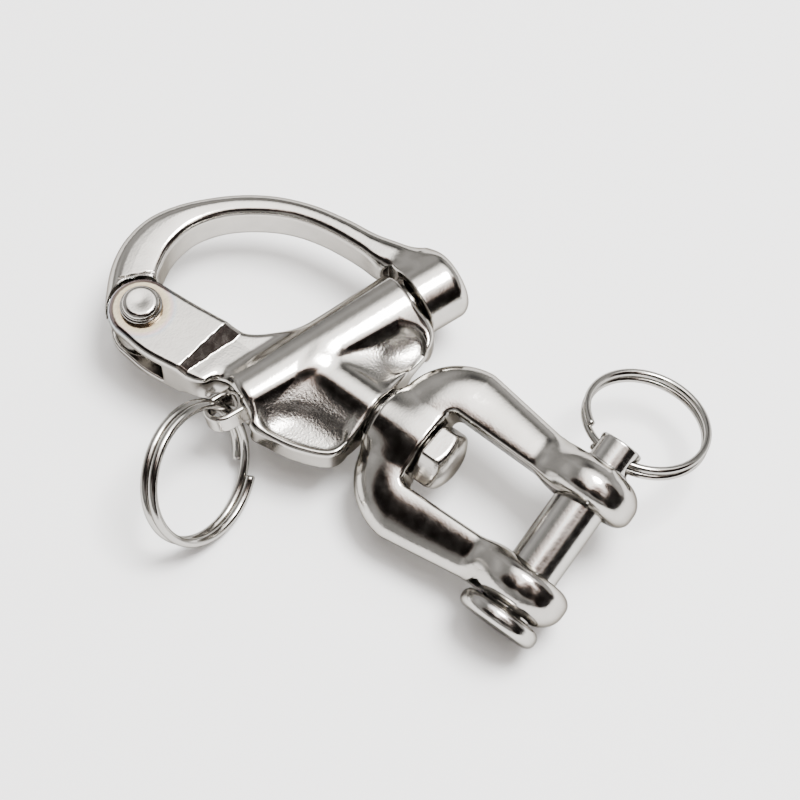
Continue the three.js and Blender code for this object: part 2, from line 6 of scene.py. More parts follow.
import bpy
import numpy as np
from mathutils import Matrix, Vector


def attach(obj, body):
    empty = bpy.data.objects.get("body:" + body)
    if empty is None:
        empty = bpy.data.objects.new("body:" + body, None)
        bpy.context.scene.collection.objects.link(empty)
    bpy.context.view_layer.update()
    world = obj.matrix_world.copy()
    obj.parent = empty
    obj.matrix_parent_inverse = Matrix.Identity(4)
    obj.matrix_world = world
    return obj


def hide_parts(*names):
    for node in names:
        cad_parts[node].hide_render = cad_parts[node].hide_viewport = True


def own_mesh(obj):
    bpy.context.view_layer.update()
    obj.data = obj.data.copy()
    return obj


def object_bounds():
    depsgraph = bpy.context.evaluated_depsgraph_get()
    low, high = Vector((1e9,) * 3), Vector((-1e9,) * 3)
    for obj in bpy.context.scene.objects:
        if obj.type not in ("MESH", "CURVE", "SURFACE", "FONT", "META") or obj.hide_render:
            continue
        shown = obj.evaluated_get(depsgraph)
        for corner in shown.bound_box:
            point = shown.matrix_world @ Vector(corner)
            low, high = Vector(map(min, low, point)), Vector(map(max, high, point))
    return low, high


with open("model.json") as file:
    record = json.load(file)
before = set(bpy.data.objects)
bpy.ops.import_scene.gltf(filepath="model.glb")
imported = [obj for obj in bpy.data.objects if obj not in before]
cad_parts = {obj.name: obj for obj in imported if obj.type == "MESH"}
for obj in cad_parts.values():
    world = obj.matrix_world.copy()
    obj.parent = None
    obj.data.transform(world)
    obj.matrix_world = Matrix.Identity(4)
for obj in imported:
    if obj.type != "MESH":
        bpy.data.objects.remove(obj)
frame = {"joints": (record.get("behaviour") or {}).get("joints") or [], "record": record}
cad_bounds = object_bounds()

# ------------------------------------------------------------------ driving dimensions, mm
# Working frame: Y is the swivel axis towards the hook, X points to the lock boss, Z is up, and the clevis
# pin's axis crosses the swivel axis at the origin. The fork's own frame is this one turned about Y.
MM = 0.001
JOINTS = {joint["name"]: joint for joint in frame["joints"]}
AXES_CROSS = np.array(JOINTS["clevis_pin_spin"]["pos_m"]) / MM
PIN_DIRECTION = np.array(JOINTS["clevis_pin_spin"]["axis"])
FORK_UP = np.array([-PIN_DIRECTION[2], 0.0, PIN_DIRECTION[0]])
HINGE = np.array(JOINTS["hook_hinge"]["pos_m"]) / MM - AXES_CROSS
TUBE = -np.array(JOINTS["plunger_pull"]["axis"])            # along the lock pin, towards the boss
MOUTH = np.array([16.6, 39.9, 0.0])                         # centre of the tube's mouth
UP = np.array([0.0, 0.0, 1.0])
ACROSS = np.array([1.0, 0.0, 0.0])
AHEAD = np.array([0.0, 1.0, 0.0])
CENTRE = np.zeros(3)

CELL = 0.22                          # sampling step of the cast surfaces
FINE_CELL = 0.13                     # and of the turned ones
SKIN = 0.03                                                 # how far surfaces stay inside the solids
RING_SKIN = 0.05                                            # and the rings' wire

# Body: barrel, webs, hinge arm with its dip, lock-pin tube.
BODY_END, STEM_R, STEM_TOP = 32.0, 4.5, 44.0
WEB_HALF, RIM, WEB_FLOOR = 2.5, 1.2, 0.8
ARM_HALF, EAR_R, SLOT_HALF, SLOT_R = 4.2, 5.15, 2.3, 9.2
DIP_AT, DIP_SLOPE, DIP_LENGTH = 57.7, 0.66, 2.0             # where the arm steps down from the ears
DIP_LEAN, DIP_WAVE, DIP_WAVE_RATE = 0.09, 0.05, 1.1
DIP_WIDENS, DIP_MIDDLE_X, DIP_REACH = 0.14, -8, 4
VALLEY_BLEND, VALLEY_WIDER, VALLEY_TOP, VALLEY_LOW = 1.6, 4.0, 4.2, 2.2   # between webs and barrel
TUBE_LENGTH, TUBE_R_MOUTH, TUBE_R_EYE = 29.6, 5.6, 4.5
BORE_R, BORE_DEPTH, STEM_BORE_R = 3.35, 23.5, 2.15
EYE_POCKET_DEPTH, EYE_POCKET_R, EYE_CLEAR_R = 1.2, 3.1, 4.9

# Hook and rivet.
HOOK_HALF, HOOK_CROWN, HOOK_CROWN_REACH = 3.8, 0.45, 1.3    # the crown is how much lower its rims are
TONGUE_HALF, TONGUE_R, SHOULDER_R = 2.05, 4.6, 5.6
BOSS_GAP, BOSS_LENGTH, BOSS_R = 1.2, 7.5, 5.6
SOCKET_R, SOCKET_DEPTH, SOCKET_LEAD, TUBE_CLEARANCE = 3.5, 4.2, 0.9, 0.7
GROOVE = (np.array([-7.0, 75.2]), np.array([-2.9, 71.8]))   # the scribed line beside the hinge
GROOVE_R, GROOVE_NARROW, GROOVE_DEEP = 0.3, 1.7, 0.65
RIVET_R, RIVET_HOLE_R, RIVET_STEP_R, RIVET_CROWN_R = 2.0, 2.12, 3.2, 2.85
RIVET_STEP, RIVET_TOP, RIVET_TAPER, DISH_R, DISH_DEPTH = 0.95, 2.12, 0.12, 1.1, 0.14

# Lock pin and spring.
PLUNGER_R, PLUNGER_STEM_R, PLUNGER_HEAD = 3.2, 2.0, 9.0
NOSE_CONE, NOSE_TIP_R, NOSE_START = 1.7, 1.0, 0.2
EYE_CENTRE, EYE_ROOT, EYE_HALF_WIDTH, EYE_HALF_THICK = 1.9, 2.6, 2.7, 1.5
EYE_HOLE_R, EYE_HOLE_STRETCH = 1.75, 0.45
EYE_TURN = math.radians(-19)
SPRING_WIRE_R, SPRING_R, SPRING_TURNS, SPRING_GAP = 0.35, 2.67, 7, 0.5

# Fork, swivel bolt and clevis pin.
CROWN_IN, CROWN_OUT, CROWN_HOLE_R, CROWN_HUB_R = 22.7, 31.5, 3.2, 4.75
CROWN_BEND_X, CROWN_BEND_Y, CROWN_BEND_R = 3.7, 20.5, 10.75
LEG_IN, LEG_IN_CROWN, LEG_OUT_EAR, LEG_OUT_CROWN = 6.0, 6.3, 12.35, 14.3
LEG_FROM, LEG_TO, WINDOW_CORNER = 6.4, 20.0, 1.1
LEG_HALF, CROWN_HALF, THICKENS_FROM, THICKENS_TO = 3.7, 4.2, 17.0, 27.0
OVAL_SCALE, BOW_END = 3.0, -1.0
LEG_FLARE = (LEG_OUT_CROWN - LEG_OUT_EAR) / (LEG_TO - LEG_FROM)
RIDGE = 0.20                                                # highest line of the bow, as a share of its width
EAR_IN, EAR_OUT, FORK_EAR_R = 5.9, 12.4, 7.4
SEAT_HALF, SEAT_DEPTH = 4.6, 3                              # the flat under the bolt's head
PIN_R, PIN_HOLE_R, PIN_HEAD_R, PIN_HEAD, PIN_HEAD_GAP = 3.95, 4.1, 6.4, 2.8, 0.3
PIN_END, PIN_END_R, PIN_SHOULDER = 16.5, 3.35, 0.2
CROSS_HOLE_AT, CROSS_HOLE_R, CROSS_HOLE_FROM = 14.1, 1.65, 8.5
BOLT_R, BOLT_HOLE_R, BOLT_TOP, BOLT_HEAD_GAP = 3.0, 3.12, 40.4, 0.3
HEX_R, HEX_LENGTH, HEX_DOME_R, HEX_DOME_CENTRE = 5.15, 4.6, 7.75, 7.6
BOLT_PITTING = 0.35


# ------------------------------------------------------------------ distance fields, negative inside
def smooth_min(a, b, blend):
    """Joins two solids; blend is the width over which they run into each other."""
    near = np.maximum(blend - np.abs(a - b), 0.0) / blend
    return np.minimum(a, b) - near * near * blend * 0.25


def smooth_max(a, b, blend):
    """The part common to two solids, its edge eased over the width of the blend."""
    return -smooth_min(-a, -b, blend)


def cut(solid, tool, blend):
    """A solid with a tool's shape taken out of it."""
    return smooth_max(solid, -tool, blend)


def rounded(a, b, edge):
    """Where two half spaces meet, with an edge of that radius."""
    a, b = a + edge, b + edge
    return np.minimum(np.maximum(a, b), 0.0) + np.hypot(np.maximum(a, 0.0), np.maximum(b, 0.0)) - edge


def ease(value, low, high):
    """0 at low, 1 at high, smooth between."""
    t = np.clip((value - low) / (high - low), 0.0, 1.0)
    return t * t * (3.0 - 2.0 * t)


def curve(points, steps=10):
    """A smooth open curve through the points."""
    p = np.array(points, float)
    p = np.vstack([2 * p[0] - p[1], p, 2 * p[-1] - p[-2]])
    out = []
    for a, b, c, d in zip(p[:-3], p[1:-2], p[2:-1], p[3:]):
        for t in np.arange(steps) / steps:
            out.append(0.5 * (2 * b + (c - a) * t + (2 * a - 5 * b + 4 * c - d) * t ** 2
                              + (3 * b - a - 3 * c + d) * t ** 3))
    out.append(p[-2])
    return [tuple(q) for q in out]


def arc(cx, cy, r, start, end, steps=16):
    """Points on a circle, from one angle to another in degrees."""
    angles = np.radians(np.linspace(start, end, steps + 1))
    return [(cx + r * math.cos(a), cy + r * math.sin(a)) for a in angles]


def polygon(points):
    """The signed distance in the plane to a closed outline."""
    start = np.array(points, float)
    edge = np.roll(start, -1, axis=0) - start

    def distance(x, y):
        x, y = np.broadcast_arrays(x, y)
        px, py = x.ravel(), y.ravel()
        best = np.full(px.shape, np.inf)
        inside = np.zeros(px.shape, bool)
        for (ax, ay), (ex, ey) in zip(start, edge):
            if ex * ex + ey * ey < 1e-9:
                continue
            wx, wy = px - ax, py - ay
            t = np.clip((wx * ex + wy * ey) / (ex * ex + ey * ey), 0.0, 1.0)
            best = np.minimum(best, (wx - ex * t) ** 2 + (wy - ey * t) ** 2)
            if ey != 0.0:
                inside ^= ((ay > py) != (ay + ey > py)) & (wx < ex * wy / ey)
        return (np.where(inside, -1.0, 1.0) * np.sqrt(best)).reshape(x.shape)

    return distance


def about(x, y, z, origin, axis):
    """Distance along an axis and out from it."""
    dx, dy, dz = x - origin[0], y - origin[1], z - origin[2]
    along = dx * axis[0] + dy * axis[1] + dz * axis[2]
    return along, np.sqrt(np.maximum(dx * dx + dy * dy + dz * dz - along * along, 0.0))


def drum(along, out, low, high, radius, edge):
    """A cylinder or cone from low to high along its axis, with rounded rims."""
    return rounded(out - radius, np.abs(along - (low + high) / 2) - (high - low) / 2, edge)


# ------------------------------------------------------------------ from a field to a mesh
PULLS, LONGEST_PULL = 3, 0.4                                # pulls onto the surface; the longest, in cells
SLOPE_STEP, NORMAL_STEP, FLATTEST = 0.02, 0.04, 0.2


def surface(field, low, high, cell):
    """A closed quad mesh on the field's zero level: one point per crossed cell, pulled onto the surface."""
    axes = [np.arange(a - 2 * cell, b + 3 * cell, cell) for a, b in zip(low, high)]
    grid = np.meshgrid(*axes, indexing="ij", sparse=True)
    value = np.array(np.broadcast_to(field(*grid), [len(a) for a in axes]))
    inside = value < 0
    corners = [(i, j, k) for i in (0, 1) for j in (0, 1) for k in (0, 1)]
    shape = [n - 1 for n in value.shape]

    def shifted(array, corner):
        return array[tuple(slice(c, c + n) for c, n in zip(corner, shape))]

    count = sum(shifted(inside, c).astype(np.int8) for c in corners)
    active = (count > 0) & (count < 8)
    number = np.full(shape, -1)
    number[active] = np.arange(active.sum())
    cells = np.argwhere(active)
    total, hits = np.zeros((len(cells), 3)), np.zeros(len(cells))
    for a in corners:
        for axis in range(3):
            if a[axis]:
                continue
            b = tuple(1 if n == axis else v for n, v in enumerate(a))
            va, vb = shifted(value, a)[active], shifted(value, b)[active]
            crossed = (va < 0) != (vb < 0)
            share = np.where(crossed, va / np.where(crossed, va - vb, 1.0), 0.0)
            point = np.tile(np.array(a, float), (len(cells), 1))
            point[:, axis] += share
            total += point * crossed[:, None]
            hits += crossed
    points = np.array([a[0] for a in axes]) + (cells + total / hits[:, None]) * cell
    quads = []
    for axis in range(3):
        u, v = [n for n in range(3) if n != axis]
        size = list(value.shape)
        size[axis] -= 1
        near = [slice(0, n) for n in size]
        far = list(near)
        far[axis] = slice(1, size[axis] + 1)
        change = inside[tuple(near)] != inside[tuple(far)]
        leaves = inside[tuple(near)]
        at = np.argwhere(change)
        at = at[(at[:, u] > 0) & (at[:, v] > 0)]
        ring = []
        for du, dv in ((-1, -1), (0, -1), (0, 0), (-1, 0)):
            c = at.copy()
            c[:, u] += du
            c[:, v] += dv
            ring.append(number[tuple(c.T)])
        ring = np.stack(ring, axis=1)
        flip = leaves[tuple(at.T)] == (axis == 1)
        ring[flip] = ring[flip][:, ::-1]
        quads.append(ring)

    def slope(p, h):
        """The field's gradient, by differences over h on each side."""
        steps = np.eye(3) * h
        return np.stack([field(*(p + s).T) - field(*(p - s).T) for s in steps], axis=1) / (2 * h)

    for _ in range(PULLS):
        g = slope(points, SLOPE_STEP)
        move = (field(*points.T) / np.maximum((g * g).sum(1), FLATTEST))[:, None] * g
        length = np.linalg.norm(move, axis=1, keepdims=True)
        points -= move * np.minimum(1.0, LONGEST_PULL * cell / np.maximum(length, 1e-9))
    normals = slope(points, NORMAL_STEP)
    normals /= np.maximum(np.linalg.norm(normals, axis=1, keepdims=True), 1e-9)
    return points, np.concatenate(quads), normals


def in_fork(points):
    """From the fork's own frame to the working frame."""
    x, y, z = points.T
    return np.outer(x, PIN_DIRECTION) + np.outer(y, AHEAD) + np.outer(z, FORK_UP)


def piece(node, slot, material, points, faces, normals=None, marks=None):
    """A mesh that stands for one CAD node and rides on its body."""
    name = node + "_surface"
    body = next(b for b, nodes in frame["record"]["behaviour"]["bodies"].items() if node in nodes)
    mesh = bpy.data.meshes.new(name)
    mesh.from_pydata(((points + AXES_CROSS) * MM).tolist(), [], faces)
    mesh.update()
    mesh.shade_smooth()
    for key, values in (marks or {}).items():
        attribute = mesh.attributes.new(key, "FLOAT", "POINT")
        attribute.data.foreach_set("value", values.astype(np.float32))
    if normals is not None:
        mesh.normals_split_custom_set_from_vertices(normals.tolist())
    mesh.materials.append(material)
    obj = bpy.data.objects.new(name, mesh)
    bpy.context.scene.collection.objects.link(obj)
    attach(obj, body)
    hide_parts(node)
    return obj


def cast_piece(node, slot, material, field, low, high, cell, fork=False, rules=None):
    """The surface of a field as a piece; a rule gives each point a number for the material to read."""
    points, faces, normals = surface(field, low, high, cell)
    marks = {key: rule(points) for key, rule in (rules or {}).items()}
    if fork:
        points, normals = in_fork(points), in_fork(normals)
    return piece(node, slot, material, points, faces.tolist(), normals, marks)


# ------------------------------------------------------------------ materials
EDGE_SHADE = 0.40                                           # how dark the metal is where it is seen edge-on
TONE_SCALE, ROUGH_SCALE, WAVE_SCALE = 420, 900, 330         # sizes of the noises, in cycles per metre
GRAIN_SCALE, PEBBLE_SCALE, TURNING_SCALE = 2600, 2900, (4200, 90, 4200)
PEBBLE_HEIGHT, TURNING_HEIGHT = 5.5, 0.35                   # as shares of the grain's height
PEBBLE_ROUGHNESS, DARKER_TONE = 0.10, 0.9
NOISE_LOW, NOISE_HIGH = 0.3, 0.7                            # the part of a noise's range that is used
SMOOTHEST, ROUGHEST = 0.75, 1.3                             # as shares of the steel's roughness
HEAT_COLOURS = ((0.2, (0.80, 0.89, 1.0, 1)), (0.38, (1.0, 0.82, 0.86, 1)), (0.62, (1.0, 0.90, 0.68, 1)))
HEAT_FAR, HEAT_NEAR = (1, 1, 1, 1), (0.80, 0.66, 0.50, 1)


def combined(tree, a, b, kind="ADD"):
    """A math node on two numbers or sockets."""
    node = tree.nodes.new("ShaderNodeMath")
    node.operation = kind
    for socket, value in zip(node.inputs, (a, b)):
        if isinstance(value, (int, float)):
            socket.default_value = value
        else:
            tree.links.new(value, socket)
    return node.outputs["Value"]


def noise_of(tree, source, scale, detail):
    """A noise texture at that scale, read at the source's place."""
    texture = tree.nodes.new("ShaderNodeTexNoise")
    texture.inputs["Scale"].default_value = scale
    texture.inputs["Detail"].default_value = detail
    tree.links.new(source, texture.inputs["Vector"])
    return texture.outputs["Fac"]


def steel(name, colour, roughness, grain, waves, turned=False):
    """Polished steel: a fine grain and slow waves in the surface, and roughness that wanders a little."""
    material = bpy.data.materials.new(name)
    material.use_nodes = True
    tree = material.node_tree
    nodes, links = tree.nodes, tree.links
    shader = nodes["Principled BSDF"]
    shader.inputs["Metallic"].default_value = 1.0
    shader.inputs["Specular Tint"].default_value = (*[EDGE_SHADE * c for c in colour], 1)
    place = nodes.new("ShaderNodeTexCoord").outputs["Object"]

    def mark(key):
        node = nodes.new("ShaderNodeAttribute")
        node.attribute_name = key
        return node.outputs["Fac"]

    def scaled(value, factor):
        return combined(tree, value, factor, "MULTIPLY")

    pitted, tinted = mark("pitted"), mark("tinted")
    shade = nodes.new("ShaderNodeValToRGB")
    low, high = shade.color_ramp.elements
    low.position, low.color = NOISE_LOW, (*[c * DARKER_TONE for c in colour], 1)
    high.position, high.color = NOISE_HIGH, (*colour, 1)
    links.new(noise_of(tree, place, TONE_SCALE, 4), shade.inputs["Fac"])
    heat = nodes.new("ShaderNodeValToRGB")
    far, near = heat.color_ramp.elements
    far.position, far.color = 0.0, HEAT_FAR
    near.position, near.color = 1.0, HEAT_NEAR
    for position, hue in HEAT_COLOURS:
        heat.color_ramp.elements.new(position).color = hue
    links.new(tinted, heat.inputs["Fac"])
    paint = nodes.new("ShaderNodeMix")
    paint.data_type = "RGBA"
    paint.blend_type = "MULTIPLY"
    paint.inputs["Factor"].default_value = 1.0
    links.new(shade.outputs["Color"], paint.inputs["A"])
    links.new(heat.outputs["Color"], paint.inputs["B"])
    links.new(paint.outputs["Result"], shader.inputs["Base Color"])

    rough = nodes.new("ShaderNodeMapRange")
    for key, value in (("From Min", NOISE_LOW), ("From Max", NOISE_HIGH),
                       ("To Min", roughness * SMOOTHEST), ("To Max", roughness * ROUGHEST)):
        rough.inputs[key].default_value = value
    links.new(noise_of(tree, place, ROUGH_SCALE, 5), rough.inputs["Value"])
    links.new(combined(tree, rough.outputs["Result"], scaled(pitted, PEBBLE_ROUGHNESS)),
              shader.inputs["Roughness"])

    pebbles = combined(tree, scaled(noise_of(tree, place, PEBBLE_SCALE, 3), PEBBLE_HEIGHT * grain), pitted,
                       "MULTIPLY")
    height = combined(tree, scaled(noise_of(tree, place, GRAIN_SCALE, 3), grain), pebbles)
    height = combined(tree, height, scaled(noise_of(tree, place, WAVE_SCALE, 2), waves))
    if turned:
        mapping = nodes.new("ShaderNodeMapping")
        mapping.inputs["Scale"].default_value = TURNING_SCALE
        links.new(place, mapping.inputs["Vector"])
        turning = noise_of(tree, mapping.outputs["Vector"], 1.0, 2)
        height = combined(tree, height, scaled(turning, TURNING_HEIGHT * grain))
    bump = nodes.new("ShaderNodeBump")
    bump.inputs["Strength"].default_value = 1.0
    bump.inputs["Distance"].default_value = MM
    links.new(height, bump.inputs["Height"])
    links.new(bump.outputs["Normal"], shader.inputs["Normal"])
    return material


CAST = steel("cast_steel", (0.49, 0.47, 0.44), roughness=0.14, grain=0.012, waves=0.02)
TURNED = steel("turned_steel", (0.50, 0.485, 0.46), roughness=0.17, grain=0.010, waves=0.012, turned=True)
RING = steel("ring_steel", (0.44, 0.425, 0.40), roughness=0.13, grain=0.008, waves=0.03)
SPRING = steel("spring_steel", (0.50, 0.49, 0.47), roughness=0.3, grain=0.01, waves=0.02)


# ------------------------------------------------------------------ the body casting
web_outline = polygon(
    [(15.6, 40.2)] + curve([(15.6, 35.0), (14.4, 33.0), (11.6, BODY_END - 1)])
    + curve([(-7.6, BODY_END - 1), (-10.6, 33.2), (-12.6, 37.5), (-13.5, 42.0), (-14.0, 47.5)])
    + [(-11.6, 50.2)])
arm_outline = polygon(
    arc(HINGE[0], HINGE[1], EAR_R, 0, 180)
    + curve([(-14.05, 69.2), (-14.4, 64.5), (-13.7, 59.0), (-12.8, 54.0), (-12.2, 49.0)])
    + [(0.0, 44.0)] + curve([(5.0, 47.5), (1.8, 50.8), (-2.0, 55.2), (-3.2, 62.0), (-3.75, 69.2)]))
EYE_UP = UP * math.cos(EYE_TURN) + np.cross(TUBE, UP) * math.sin(EYE_TURN)
EYE_SIDE = np.cross(EYE_UP, TUBE)


def body_field(x, y, z):
    """Webs, tube and barrel run together and the hinge arm joins them; then come the slot and the bores."""
    web2 = web_outline(x, y)
    web = rounded(web2 + SKIN, np.abs(z) - WEB_HALF, edge=0.9)
    recess = smooth_max(web2 + RIM, WEB_FLOOR - np.abs(z), blend=1.0)
    web = cut(web, recess, blend=0.9)
    along, out = about(x, y, z, MOUTH, TUBE)
    flare = TUBE_R_EYE + (TUBE_R_MOUTH - TUBE_R_EYE) * np.clip(1 + along / TUBE_LENGTH, 0, 1)
    tube = drum(along, out, -TUBE_LENGTH, 3, flare - SKIN, edge=1.8)
    tube = rounded(tube, along, edge=0.7)
    up, stem_out = about(x, y, z, CENTRE, AHEAD)
    stem = drum(up, stem_out, BODY_END - 2, STEM_TOP, STEM_R, edge=0.4)
    down = DIP_AT - y - DIP_LEAN * x - DIP_WAVE * np.sin(DIP_WAVE_RATE * x)
    dip_length = DIP_LENGTH + DIP_WIDENS * np.clip(x - DIP_MIDDLE_X, -DIP_REACH, DIP_REACH)
    thick = ARM_HALF - DIP_SLOPE * np.clip(down, 0, dip_length)
    arm = rounded(arm_outline(x, y) + SKIN, np.abs(z) - thick, edge=1.0)
    valley = VALLEY_BLEND + VALLEY_WIDER * ease(-np.abs(z), -VALLEY_TOP, -VALLEY_LOW)
    solid = smooth_min(smooth_min(web, tube, blend=3.6), stem, valley)
    solid = smooth_min(solid, arm, blend=1.3)
    around, hinge_out = about(x, y, z, HINGE, UP)
    solid = cut(solid, drum(around, hinge_out, -SLOT_HALF, SLOT_HALF, SLOT_R, edge=0.1), blend=0.35)
    solid = cut(solid, hinge_out - RIVET_HOLE_R, blend=0.2)
    solid = cut(solid, np.maximum(out - BORE_R, -BORE_DEPTH - along), blend=0.5)
    solid = cut(solid, np.maximum(out - STEM_BORE_R, along), blend=0.2)
    solid = cut(solid, np.maximum(out - EYE_POCKET_R, along + TUBE_LENGTH - EYE_POCKET_DEPTH), blend=0.3)
    solid = cut(solid, smooth_max(out - EYE_CLEAR_R, along + TUBE_LENGTH, blend=2.0), blend=1.6)
    solid = cut(solid, np.maximum(stem_out - BOLT_HOLE_R, up - BOLT_TOP - 0.5), blend=0.3)
    return smooth_max(solid, BODY_END - y, blend=0.9)


# Where pebbling fades in: below the outside, in from the webs' edge, behind the arm, out from the tube.
PEBBLES_BELOW, PEBBLES_INSET, PEBBLES_BEHIND = (-3.9, -2.6), (1.0, 2.2), (-50.5, -48.0)
ARM_PEBBLES, ARM_PEBBLES_PAST, ARM_PEBBLES_END = 0.35, 2.3, 46
ARM_PEBBLES_OUT, ARM_PEBBLES_INSET, ARM_PEBBLES_FADE = (5.8, 7.2), (0.5, 1.3), (0.0, 0.8)
HEAT_REACH, HEAT_DEPTH = 2.2, 0.8


def pebbling(points):
    """1 in the recesses, a third on the arm below its dip, 0 on the polished outside."""
    x, y, z = points.T
    low = ease(-np.abs(z), *PEBBLES_BELOW)
    web = ease(-web_outline(x, y), *PEBBLES_INSET) * low * ease(-y, *PEBBLES_BEHIND)
    _, out = about(x, y, z, MOUTH, TUBE)
    below_dip = ease(DIP_AT - ARM_PEBBLES_PAST - y - DIP_LEAN * x, *ARM_PEBBLES_FADE)
    arm = ARM_PEBBLES * below_dip * ease(out, *ARM_PEBBLES_OUT) * (y > ARM_PEBBLES_END)
    inset = ease(-arm_outline(x, y), *ARM_PEBBLES_INSET)
    return np.clip(np.maximum(web, arm * inset), 0, 1)


def hinge_heat(points):
    """Straw, pink and blue rings left round the rivet."""
    x, y, z = points.T
    out = np.hypot(x - HINGE[0], y - HINGE[1])
    return np.clip(1 - (out - RIVET_STEP_R) / HEAT_REACH, 0, 1) * (np.abs(z) > ARM_HALF - HEAT_DEPTH)


cast_piece("body", "cast_steel", CAST, body_field, (-15, 31.5, -5.7), (19, 75, 5.7), CELL,
           rules={"pitted": pebbling, "tinted": hinge_heat})


# ------------------------------------------------------------------ the hook
hook_outline = polygon(
    curve([(-13.6, 69.2), (-13.45, 71.4), (-12.4, 73.6), (-9.9, 75.7), (-5.6, 78.3), (-1.0, 79.6),
           (4.0, 79.3), (8.6, 77.2), (12.8, 73.9), (16.4, 70.1), (19.3, 65.7), (21.4, 60.5), (22.6, 54.8),
           (23.1, 50.4), (24.0, 46.8), (25.2, 42.5)])
    + [(24.0, 39.5), (20.5, 39.5), (16.0, 50.0), (10.0, 64.0), (-8.9, 66.0)])
window_outline = polygon(
    curve([(20.4, 40.0), (18.9, 43.2), (18.5, 46.5), (18.8, 50.5), (18.3, 56.5), (16.9, 61.6), (14.4, 66.0),
           (11.0, 69.8), (7.0, 72.2), (3.0, 72.8), (-0.4, 72.2), (-3.6, 70.6), (-6.5, 66.0)])
    + [(-9.0, 40.0)])
neck_outline = polygon([(-12.3, 69.2), (-5.4, 69.2), (-3.0, 71.5), (-10.6, 75.1)])


def beside_groove(x, y):
    """Distance in the plane from the scribed line."""
    start, end = GROOVE
    run = end - start
    t = np.clip(((x - start[0]) * run[0] + (y - start[1]) * run[1]) / (run @ run), 0, 1)
    return np.hypot(x - start[0] - t * run[0], y - start[1] - t * run[1])


def hook_field(x, y, z):
    """The bow between its outline and its window, the boss and the tongue; then come socket and groove."""
    outer, window = hook_outline(x, y), window_outline(x, y)
    inset = np.clip(-np.maximum(outer, -window), 0, 4)
    half = HOOK_HALF - SKIN - HOOK_CROWN * np.exp(-inset / HOOK_CROWN_REACH)
    arm = rounded(outer + SKIN, np.abs(z) - half, edge=2.5)
    arm = cut(arm, window, blend=1.1)
    along, out = about(x, y, z, MOUTH, TUBE)
    boss = drum(along, out, BOSS_GAP - 4, BOSS_GAP + BOSS_LENGTH, BOSS_R - SKIN, edge=2.1)
    boss = rounded(boss, BOSS_GAP - along, edge=0.4)
    _, hinge_out = about(x, y, z, HINGE, UP)
    arm = smooth_max(arm, SHOULDER_R - hinge_out, blend=0.3)
    solid = smooth_min(arm, boss, blend=2.4)
    tongue = np.minimum(hinge_out - TONGUE_R, neck_outline(x, y))
    solid = np.minimum(solid, rounded(tongue, np.abs(z) - TONGUE_HALF, edge=0.2))
    solid = cut(solid, hinge_out - RIVET_HOLE_R, blend=0.2)
    solid = cut(solid, np.maximum(out - TUBE_R_MOUTH - TUBE_CLEARANCE, along - BOSS_GAP), blend=0.3)
    lead = np.clip(SOCKET_LEAD - (along - BOSS_GAP), 0, 0.6)
    solid = cut(solid, np.maximum(out - SOCKET_R - lead, along - BOSS_GAP - SOCKET_DEPTH), blend=0.3)
    groove = np.hypot(GROOVE_NARROW * beside_groove(x, y), GROOVE_DEEP * (np.abs(z) - HOOK_HALF)) - GROOVE_R
    return cut(solid, groove, blend=0.08)


cast_piece("hook", "cast_steel", CAST, hook_field, (-14.5, 32, -5.7), (27.5, 80, 5.7), CELL)


# ------------------------------------------------------------------ the fork
fork_outline = polygon(
    [(LEG_OUT_EAR, -2.0), (LEG_OUT_EAR, LEG_FROM), (LEG_OUT_CROWN, LEG_TO)]
    + arc(CROWN_BEND_X, CROWN_BEND_Y, CROWN_BEND_R, 3, 90, 20)
    + arc(-CROWN_BEND_X, CROWN_BEND_Y, CROWN_BEND_R, 90, 177, 20)
    + [(-LEG_OUT_CROWN, LEG_TO), (-LEG_OUT_EAR, LEG_FROM), (-LEG_OUT_EAR, -2.0)])
fork_window = polygon(
    [(LEG_IN, -12.0), (LEG_IN, LEG_FROM)]
    + arc(LEG_IN_CROWN - WINDOW_CORNER, CROWN_IN - WINDOW_CORNER, WINDOW_CORNER, 0, 90, 8)
    + arc(WINDOW_CORNER - LEG_IN_CROWN, CROWN_IN - WINDOW_CORNER, WINDOW_CORNER, 90, 180, 8)
    + [(-LEG_IN, LEG_FROM), (-LEG_IN, -12.0)])


